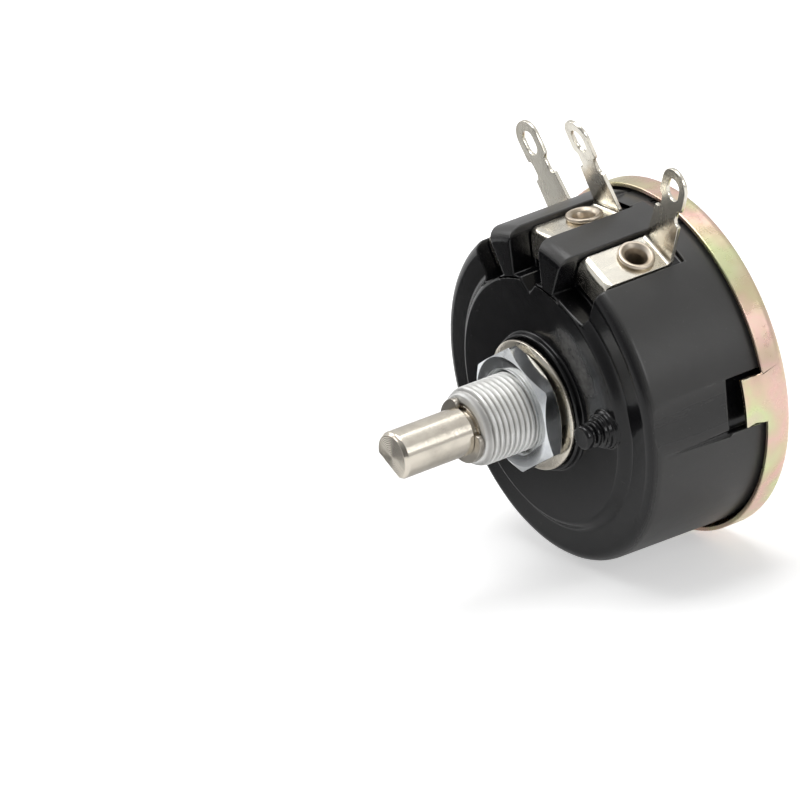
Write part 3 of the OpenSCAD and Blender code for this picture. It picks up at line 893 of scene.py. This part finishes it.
class RHEOSTAT_OT_housing(bpy.types.Operator):
    """Moulds the housing: shoulder, raised face, boss, peg, terminal channels and tab slots"""

    bl_idname = "rheostat.housing"
    bl_label = "Housing"

    def execute(self, context):
        face, fall, run = 0.85, 1.1, 1.7
        slope = [(15.2 + run * i / 8, face + fall * (1 - math.cos(math.pi * i / 8)) / 2)
                 for i in range(9)]
        profile = rounded([(4.95, 0), (8.6, 0, 0.3), (8.6, face, 0.25)] + slope
                          + [(20.8, face + fall, 1.5), (21.0, 21.0), (18.8, 21.0), (18.8, 6.4),
                             (6.6, 6.4), (6.6, 1.2), (4.95, 1.2)], 6)
        # this many steps keep every channel's edge clear of the wall's own edges
        obj = loose_object("moulded_housing", turned("moulded_housing", profile, 240))
        tools = []
        half_step, half_rib = TERMINAL_STEP / 2, 8
        for middle in (90 - half_step, 90 + half_step):
            rib = rounded([(15.4, 0.8), (21.55, 0.8, 1.8), (21.55, 16.8, 0.6), (21.2, 17.9),
                           (19.6, 17.9), (19.6, 2.5), (15.4, 2.5)], 8)
            tools.append(("UNION", turned("rib", rib, 24, middle - half_rib, middle + half_rib)))
        notch = turned("notch", [(0, -1), (2.0, -1), (2.0, 4.25), (0, 4.25)], 4, axis=(15.95, 0))
        tools.append(("DIFFERENCE", swing(notch, 90)))
        pocket = 15.6
        floor = [(FAR, -1), (pocket, -1), (pocket, 4.25)] + arc((19.7, 4.75), 0.5, -90, 0)
        floor += [(20.2, 15.1), (FAR, 15.1)]
        hole = [(0, 10), (RIVET_RADIUS, 10), (RIVET_RADIUS, 30), (0, 30)]
        for _, angle, _, _ in TERMINALS:
            tools.append(("DIFFERENCE", bar_mesh("channel", floor, CHANNEL, angle)))
            tools.append(("UNION", box_mesh("pad", (18.35, 19.3), (6.3, 13.9), CHANNEL, angle)))
            bore = raised(turned("rivet_hole", hole, 48))
            tools.append(("DIFFERENCE", swing(bore, angle)))
        for angle in TAB_ANGLES:
            # a shallow flat and a tapered groove lead to the cover's tab
            tools.append(("DIFFERENCE", box_mesh("slot", (20.6, FAR), (-1, 13.6), TAB_SLOT, angle)))
            groove = turned("groove", [(0, 2.4), (0.5, 13.6), (0, 13.6)], 16, axis=(20.66, -3.35))
            tools.append(("DIFFERENCE", swing(groove, angle)))
            tools.append(("DIFFERENCE",
                          box_mesh("tab_pocket", (19.5, FAR), (13.45, 22), TAB_SLOT, angle)))
        peg = rounded([(0, -2.85), (1.5, -2.85, 0.3), (1.5, -1.95, 0.2), (1.05, -1.8, 0.1),
                       (1.05, -1.45, 0.1), (1.6, -1.35, 0.15), (1.6, -0.85, 0.12), (1.35, -0.75),
                       (1.35, -0.62), (1.9, -0.52, 0.12), (1.9, -0.12, 0.1), (2.15, -0.08, 0.1),
                       (2.15, 0.5), (2.4, 0.6), (2.4, 1.3), (0, 1.3)], 4)
        tools.append(("UNION", turned("peg", peg, 64, axis=(13.2, 0))))
        stop = turned("stop", [(8.6, 6.3), (11.6, 6.3), (11.6, 9.4), (8.6, 9.4)], 48, 55.5, 124.5)
        tools.append(("UNION", stop))
        carve(obj, tools)
        soften(obj, sizes().edge_radius, 32, 3, shallow_edge)
        finished(obj, finish_of("bakelite"), "body", ["housing"], sharp=48, wall=20.9)
        return {"FINISHED"}


class RHEOSTAT_OT_bushing(bpy.types.Operator):
    """Cuts the thread on the bush"""

    bl_idname = "rheostat.bushing"
    bl_label = "Bush"

    def execute(self, context):
        s = sizes()
        pitch, depth = s.thread_pitch, s.thread_depth
        around, steps_per_turn = 120, 8
        start, stop, crest_radius = -9.75, -0.5, 4.93
        count = int((stop - start) / pitch * steps_per_turn)
        rows = []
        for i in range(around):
            a = TAU * i / around
            row = [(3.05, 6.6), (3.05, -9.9), (3.35, -10.02), (3.35, -10.3), (4.18, -10.3),
                   (4.26, -10.26)]
            row += [(4.3 + 0.32 * k / 3, -10.2 + 0.3 * k / 3) for k in range(1, 4)]
            for k in range(count + 1):
                y = start + (stop - start) * k / count
                phase = (y / pitch + i / around) % 1
                ridge = abs(2 * phase - 1)
                fade = min(1.0, (y - start) / 0.7 + 0.25)
                crest = crest_radius - (1 - fade) * 0.3
                rise = min(1, max(0, (ridge - 0.08) / 0.5))
                row.append((crest - depth * (1 - rise), y))
            row += [(4.6, -0.2), (4.95, 0.0), (4.95, 1.2), (6.6, 1.2), (6.6, 6.6)]
            rows.append([(r * math.cos(a), y, r * math.sin(a)) for r, y in row])
        obj = loose_object("threaded_bush", grid_mesh("threaded_bush", rows))
        finished(obj, finish_of("bush"), "body", ["bushing"])
        return {"FINISHED"}


class RHEOSTAT_OT_shaft(bpy.types.Operator):
    """Turns the shaft, mills its flat and adds the open retaining ring"""

    bl_idname = "rheostat.shaft"
    bl_label = "Shaft and retaining ring"

    def execute(self, context):
        profile = rounded([(0, -21.1), (2.68, -21.1, 0.06), (3, -20.6, 0.1), (3, -11.15),
                           (2.4, -11.15), (2.4, -10.35), (3, -10.35),
                           (3, 17.8), (2.5, 17.8), (2.5, 18.35), (3, 18.35), (3, 18.7), (2.7, 19.0),
                           (0, 19.0)], 4)
        obj = loose_object("turned_shaft", turned("turned_shaft", profile, 128))
        carve(obj, [("DIFFERENCE", box_mesh("flat", (1.55, 8), (-22, -16.1), (-8, 8), REST_ANGLE))])
        finished(obj, finish_of("shaft"), "rotor", ["shaft"], edge=0.05, limit=60)

        # the open ring: an outer arc, a round end, an inner arc back and the other round end
        inner, outer, gap, middle = 2.45, 4.05, 118, 50
        mid, end_radius = (inner + outer) / 2, (outer - inner) / 2 * 0.92
        first, last = middle + gap / 2, middle + 360 - gap / 2
        outline = []
        for radius, here, there, steps, turn in ((outer, first, last, 72, 0),
                                                 (inner, last, first, 60, -180)):
            c, s = math.cos(math.radians(there)), math.sin(math.radians(there))
            outline += arc((0, 0), radius, here, there, steps)
            outline += arc((mid * c, mid * s), end_radius, there + turn + 18, there + turn + 162, 8)
        front, thickness = -11.1, 0.7
        points = [(x, front, z) for x, z in outline]
        ring = loose_object("open_ring", drawn_out("open_ring", points, (0, thickness, 0)))
        finished(ring, finish_of("ring"), "rotor", ["retaining_ring"], edge=0.08,
                 limit=50)
        return {"FINISHED"}


class RHEOSTAT_OT_fasteners(bpy.types.Operator):
    """Forms the chamfered hexagon nut and the bowed spring washer"""

    bl_idname = "rheostat.fasteners"
    bl_label = "Nut and spring washer"

    def execute(self, context):
        back, front = -1.1, -3.6
        around, half = 288, 7.0
        rows = []
        for i in range(around):
            a = TAU * i / around
            # corners at 30, 90, 150 degrees, rounded by a steep blend of the six sides
            side = sum(max(0.0, math.cos(a - math.radians(60 * k))) ** 90
                       for k in range(6)) ** (1 / 90)
            d = half / side
            lead = max(0.0, (d - (half - 0.15))) * math.tan(math.radians(30))
            ring = [(5.01, back), (5.01, front + 0.5), (5.45, front + 0.02), (5.55, front),
                    (6.75, front), (6.92, front + 0.03)]
            ring += [(d - 0.04, front + lead), (d, front + lead + 0.06), (d, back - lead - 0.06),
                     (d - 0.04, back - lead)]
            ring += [(6.92, back - 0.03), (6.75, back), (5.3, back)]
            ring = [(min(r, d), y) for r, y in ring]
            rows.append([(r * math.cos(a), y, r * math.sin(a)) for r, y in ring])
        obj = loose_object("chamfered_nut", grid_mesh("chamfered_nut", rows))
        finished(obj, finish_of("nut"), "nut", ["hex_nut"], sharp=20)

        bow, front = 60.66, 1.0
        rows = []
        edge = rounded([(5.25, 0, 0.06), (8.15, 0, 0.12), (8.15, 0.4, 0.08), (5.25, 0.4, 0.08)], 3)
        # the flats need rows of their own, so that they follow the bow
        outline = []
        for p, q in zip(edge, edge[1:] + edge[:1]):
            outline.append(p)
            if abs(q[0] - p[0]) > 1:
                outline += [(p[0] + (q[0] - p[0]) * k / 8, p[1]) for k in range(1, 8)]
        for i in range(160):
            a = TAU * i / 160
            row = []
            for r, d in outline:
                x, z = r * math.cos(a), r * math.sin(a)
                row.append((x, bow - front - math.sqrt(bow ** 2 - x * x) + d, z))
            rows.append(row)
        obj = loose_object("bowed_washer", grid_mesh("bowed_washer", rows))
        finished(obj, finish_of("washer"), "washer", ["spring_washer"])
        return {"FINISHED"}


class RHEOSTAT_OT_cover(bpy.types.Operator):
    """Draws the rear cap with its rolled edge and sprung tabs"""

    bl_idname = "rheostat.cover"
    bl_label = "Cover"

    def execute(self, context):
        back, front, t = 21.9, 18.25, 0.6
        inner, outer = 21.4, 22.0
        profile = rounded([(0, back - t), (inner, back - t, 0.6), (inner, front - 0.3, 1.2),
                           (inner - 0.4, front - 1.5, 1.2),
                           (inner - 0.1, front - 3.0, 0.12), (inner - 0.1 + t, front - 3.0, 0.12),
                           (inner - 0.4 + t, front - 1.5, 1.2),
                           (outer, front - 0.3, 1.2), (outer, back, 1.2), (0, back)], 6)
        obj = loose_object("drawn_cover", turned("drawn_cover", profile, 256))
        half_tab = 3.1
        half = math.degrees(math.asin(half_tab / outer))
        tools = []
        gap = [(19, front - 5), (25, front - 5), (25, front), (19, front)]
        for angle, following in zip(TAB_ANGLES, TAB_ANGLES[1:] + (TAB_ANGLES[0] + 360,)):
            ring = turned("gap", gap, 72, angle + half, following - half)
            tools.append(("DIFFERENCE", ring))
        carve(obj, tools)
        finished(obj, finish_of("cover"), "body", ["cover"], edge=0.16, limit=50,
                 wall=21.9)
        return {"FINISHED"}


class RHEOSTAT_OT_winding(bpy.types.Operator):
    """Winds the resistance wire round its card, turn by turn"""

    bl_idname = "rheostat.winding"
    bl_label = "Resistance winding"

    def execute(self, context):
        s = sizes()
        r = s.wire_radius
        lift = r + 0.02
        x0, x1, y0, y1 = 17.25 - lift, 17.95 + lift, 7.3 - lift, 16.3 + lift
        loop = rounded([(x0, y0, 0.2), (x1, y0, 0.2), (x1, y1, 0.2), (x0, y1, 0.2)], 2)
        rows = []
        for i, (x, y) in enumerate(loop):
            px, py = loop[i - 1]
            qx, qy = loop[(i + 1) % len(loop)]
            d = Vector((qx - px, qy - py)).normalized()
            rows.append([(x + r * d.y * math.cos(b), y - r * d.x * math.cos(b), r * math.sin(b))
                         for b in [TAU * k / 5 for k in range(5)]])
        pattern = loose_object("one_turn", grid_mesh("one_turn", rows))
        pattern.hide_render = True
        first, sweep = 132.9, 274.2
        obj = grown("wire_turns", copies_tree("Wire turns", "Turn", "Turns", "Wire"),
                    {"Turn": pattern, "Turns": s.wire_turns, "Wire": finish_of("wire"),
                     "Step": math.radians(sweep) / (s.wire_turns - 1),
                     "First": math.radians(first)})
        bpy.data.objects.remove(pattern)
        finished(obj, finish_of("wire"), "body", ["resistance_winding"])
        return {"FINISHED"}


class RHEOSTAT_OT_works(bpy.types.Operator):
    """Gives the pieces inside the housing their finishes"""

    bl_idname = "rheostat.works"
    bl_label = "Inner works"

    def execute(self, context):
        for name, finish in (("winding_card", "card"), ("insulating_liner", "liner"),
                             ("end_clip_right", "brass"),
                             ("end_clip_left", "brass"), ("collector_leaf", "bronze"),
                             ("thrust_washer", "ring"),
                             ("rotor_hub", "hub"), ("collector_ring", "bronze"),
                             ("wiper_arm", "bronze"),
                             ("contact_brush", "brush"), ("hub_clip", "ring"),
                             ("insulating_disc", "liner")):
            data = NODES[name].data
            data.materials.clear()
            data.materials.append(finish_of(finish))
        return {"FINISHED"}


# ---------------------------------------------------------------- stage


def soft_box(name, place, aim, width, height, power):
    lamp = bpy.data.lights.new(name, "AREA")
    lamp.shape, lamp.size, lamp.size_y, lamp.energy = "RECTANGLE", width, height, power
    obj = bpy.data.objects.new(name, lamp)
    obj.location = place
    obj.rotation_euler = (Vector(aim) - Vector(place)).to_track_quat("-Z", "Y").to_euler()
    bpy.context.scene.collection.objects.link(obj)


def sheet_of(name, corners):
    """One flat face from corners in metres."""
    bm = bmesh.new()
    bm.faces.new([bm.verts.new(corner) for corner in corners])
    return loose_object(name, baked(name, bm))


def place_camera(scene):
    """A long lens, looking at the front and right of the object from above."""
    cam = bpy.data.cameras.new("camera")
    cam.sensor_width, cam.lens = 36, 529.3
    cam.clip_start, cam.clip_end = 0.1, 10
    right = Vector((0.57674539, 0.80997376, -0.10633564))
    up = Vector((-0.25451355, 0.30184439, 0.91875613))
    back = Vector((0.77626517, -0.5028245, 0.38023665))
    aside, above, distance, shift = 16.7163759, 0.119510824, 1403.89026, (0, 0.75, 0)
    place = back * distance + up * above - right * aside + Vector(shift)
    turn = Matrix((right, up, back)).transposed().to_4x4()
    obj = bpy.data.objects.new("camera", cam)
    obj.matrix_world = Matrix.Translation(place * MM) @ turn
    scene.collection.objects.link(obj)
    scene.camera = obj


def floor_paint():
    """Pale to the eye, with a light contact shadow and painted shade near the object, and with a
    painted dark patch in reflections.
    """
    mat = bpy.data.materials.new("Pale floor")
    mat.use_nodes = True
    tree = mat.node_tree
    tree.nodes.clear()
    out = tree.nodes.new("ShaderNodeOutputMaterial")
    paint = node(tree, "ShaderNodeBsdfDiffuse", Color=(0.86, 0.86, 0.86, 1))
    lift = node(tree, "ShaderNodeEmission", Color=(1, 1, 1, 1))
    both = tree.nodes.new("ShaderNodeAddShader")
    tree.links.new(paint.outputs[0], both.inputs[0])
    tree.links.new(lift.outputs[0], both.inputs[1])
    path = tree.nodes.new("ShaderNodeLightPath")
    glossy = path.outputs["Is Glossy Ray"]
    coords = tree.nodes.new("ShaderNodeTexCoord").outputs["Object"]
    away = node(tree, "ShaderNodeVectorMath", operation="LENGTH")
    tree.links.new(coords, away.inputs[0])
    # painted shade: the floor's glow to the eye is weaker near the object, so the floor grows
    # whiter away from it
    seen = spread(tree, away.outputs["Value"], 0.06, 0.25, 0.5, 1.0)
    lifted = plus(tree, times(tree, path.outputs["Is Camera Ray"], seen), times(tree, glossy, 0.22))
    tree.links.new(lifted, lift.inputs["Strength"])
    # painted reflection: to glossy rays the floor turns black in a patch in front, to the left,
    # standing in for a dark neighbour
    parts = tree.nodes.new("ShaderNodeSeparateXYZ")
    tree.links.new(coords, parts.inputs[0])
    x, y, far_way, side_way = parts.outputs["X"], parts.outputs["Y"], 0.84, 0.54
    ahead = plus(tree, times(tree, x, -far_way), times(tree, y, -side_way))
    across = plus(tree, times(tree, x, -side_way), times(tree, y, far_way))
    dark = times(tree, glossy, 0.92)
    for value, low, high in ((ahead, -0.012, 0.045), (ahead, 0.17, 0.13),
                             (across, -0.0125, -0.0100), (across, 0.0165, 0.0135)):
        dark = times(tree, dark, spread(tree, value, low, high))
    black = node(tree, "ShaderNodeEmission", Color=(0, 0, 0, 1), Strength=0.0)
    choose = tree.nodes.new("ShaderNodeMixShader")
    for i, source in enumerate((dark, both.outputs[0], black.outputs[0])):
        tree.links.new(source, choose.inputs[i])
    tree.links.new(choose.outputs[0], out.inputs[0])
    return mat


def surround():
    """White to the eye, dim as light, and in reflections white with a darker front."""
    world = bpy.data.worlds.new("surround")
    world.use_nodes = True
    tree = world.node_tree
    tree.nodes.clear()
    out = tree.nodes.new("ShaderNodeOutputWorld")
    coords = tree.nodes.new("ShaderNodeTexCoord").outputs["Generated"]
    parts = tree.nodes.new("ShaderNodeSeparateXYZ")
    tree.links.new(coords, parts.inputs[0])
    path = tree.nodes.new("ShaderNodeLightPath")
    sky = tree.nodes.new("ShaderNodeBackground")
    facing = node(tree, "ShaderNodeVectorMath", operation="DOT_PRODUCT")
    facing.inputs[1].default_value = (0.78, -0.50, 0.38)
    tree.links.new(coords, facing.inputs[0])
    shade = times(tree, spread(tree, parts.outputs["Z"], -0.2, 0.8, 0.75, 1.0),
                  spread(tree, facing.outputs["Value"], 0.35, 0.97, 1.0, 0.22))
    level = spread(tree, path.outputs["Is Glossy Ray"], 0, 1, 0.5, 0.95)
    tree.links.new(times(tree, shade, level), sky.inputs["Strength"])
    white = node(tree, "ShaderNodeBackground", Color=(1, 1, 1, 1), Strength=1.0)
    choose = tree.nodes.new("ShaderNodeMixShader")
    for i, source in enumerate((path.outputs["Is Camera Ray"], sky.outputs[0], white.outputs[0])):
        tree.links.new(source, choose.inputs[i])
    tree.links.new(choose.outputs[0], out.inputs[0])
    return world


class RHEOSTAT_OT_stage(bpy.types.Operator):
    """Sets the camera, the pale floor, the soft lamps and the white surround"""

    bl_idname = "rheostat.stage"
    bl_label = "Stage"

    def execute(self, context):
        scene = context.scene
        place_camera(scene)

        low, side = min(CAD_BOX[0][2], -0.022), 3
        corners = ((-side, -side), (side, -side), (side, side), (-side, side))
        floor = sheet_of("floor", [(x, y, low) for x, y in corners])
        floor.data.materials.append(floor_paint())
        scene.world = surround()

        soft_box("top", (-0.05, 0.02, 0.50), (0, 0, 0), 0.40, 0.30, 1.5)
        soft_box("left", (-0.35, -0.18, 0.26), (0, 0, 0), 0.18, 0.22, 0.35)
        soft_box("right", (0.40, 0.14, 0.20), (0, 0.005, 0), 0.12, 0.20, 0.30)
        # painted reflection: a dark card that only reflections see darkens the front face's
        # reflections, keeping it black
        near, far, top = (-0.075, -0.050), (-0.022, -0.062), 0.030
        flag = sheet_of("dark_card", [near + (low,), far + (low,), far + (top,), near + (top,)])
        flag.visible_camera = flag.visible_diffuse = False
        flag.visible_shadow = flag.visible_transmission = False
        dark = bpy.data.materials.new("Dark card")
        dark.use_nodes = True
        shader = dark.node_tree.nodes["Principled BSDF"]
        shader.inputs["Base Color"].default_value = (0.02, 0.02, 0.02, 1)
        shader.inputs["Roughness"].default_value = 1.0
        flag.data.materials.append(dark)
        scene.view_settings.view_transform = "Standard"
        return {"FINISHED"}


class RHEOSTAT_PT_panel(bpy.types.Panel):
    """Lists the rheostat's sizes, finishes and building steps"""

    bl_idname = "RHEOSTAT_PT_panel"
    bl_label = "Wirewound rheostat"
    bl_space_type = "VIEW_3D"
    bl_region_type = "UI"
    bl_category = "Rheostat"

    def draw(self, context):
        layout = self.layout
        for title, group in (("Sizes", context.scene.rheostat_sizes),
                             ("Finish", context.scene.rheostat_finish)):
            box = layout.box()
            box.label(text=title)
            for key in group.bl_rna.properties.keys():
                if key not in ("rna_type", "name"):
                    box.prop(group, key)
        for op in OPERATORS:
            layout.operator(op.bl_idname)


OPERATORS = (
    RHEOSTAT_OT_housing, RHEOSTAT_OT_bushing, RHEOSTAT_OT_shaft, RHEOSTAT_OT_fasteners,
    RHEOSTAT_OT_terminals,
    RHEOSTAT_OT_eyelets, RHEOSTAT_OT_cover, RHEOSTAT_OT_winding, RHEOSTAT_OT_works,
    RHEOSTAT_OT_stage,
)
CLASSES = (RheostatSizes, RheostatFinish) + OPERATORS + (RHEOSTAT_PT_panel,)


def register():
    for cls in CLASSES:
        bpy.utils.register_class(cls)
    bpy.types.Scene.rheostat_sizes = bpy.props.PointerProperty(type=RheostatSizes)
    bpy.types.Scene.rheostat_finish = bpy.props.PointerProperty(type=RheostatFinish)


def unregister():
    del bpy.types.Scene.rheostat_finish
    del bpy.types.Scene.rheostat_sizes
    for cls in reversed(CLASSES):
        bpy.utils.unregister_class(cls)


def main():
    register()
    for step in (op.bl_idname.split(".")[1] for op in OPERATORS):
        if getattr(bpy.ops.rheostat, step)() != {"FINISHED"}:
            raise RuntimeError("the step " + step + " did not finish")


if __name__ == "__main__":
    main()
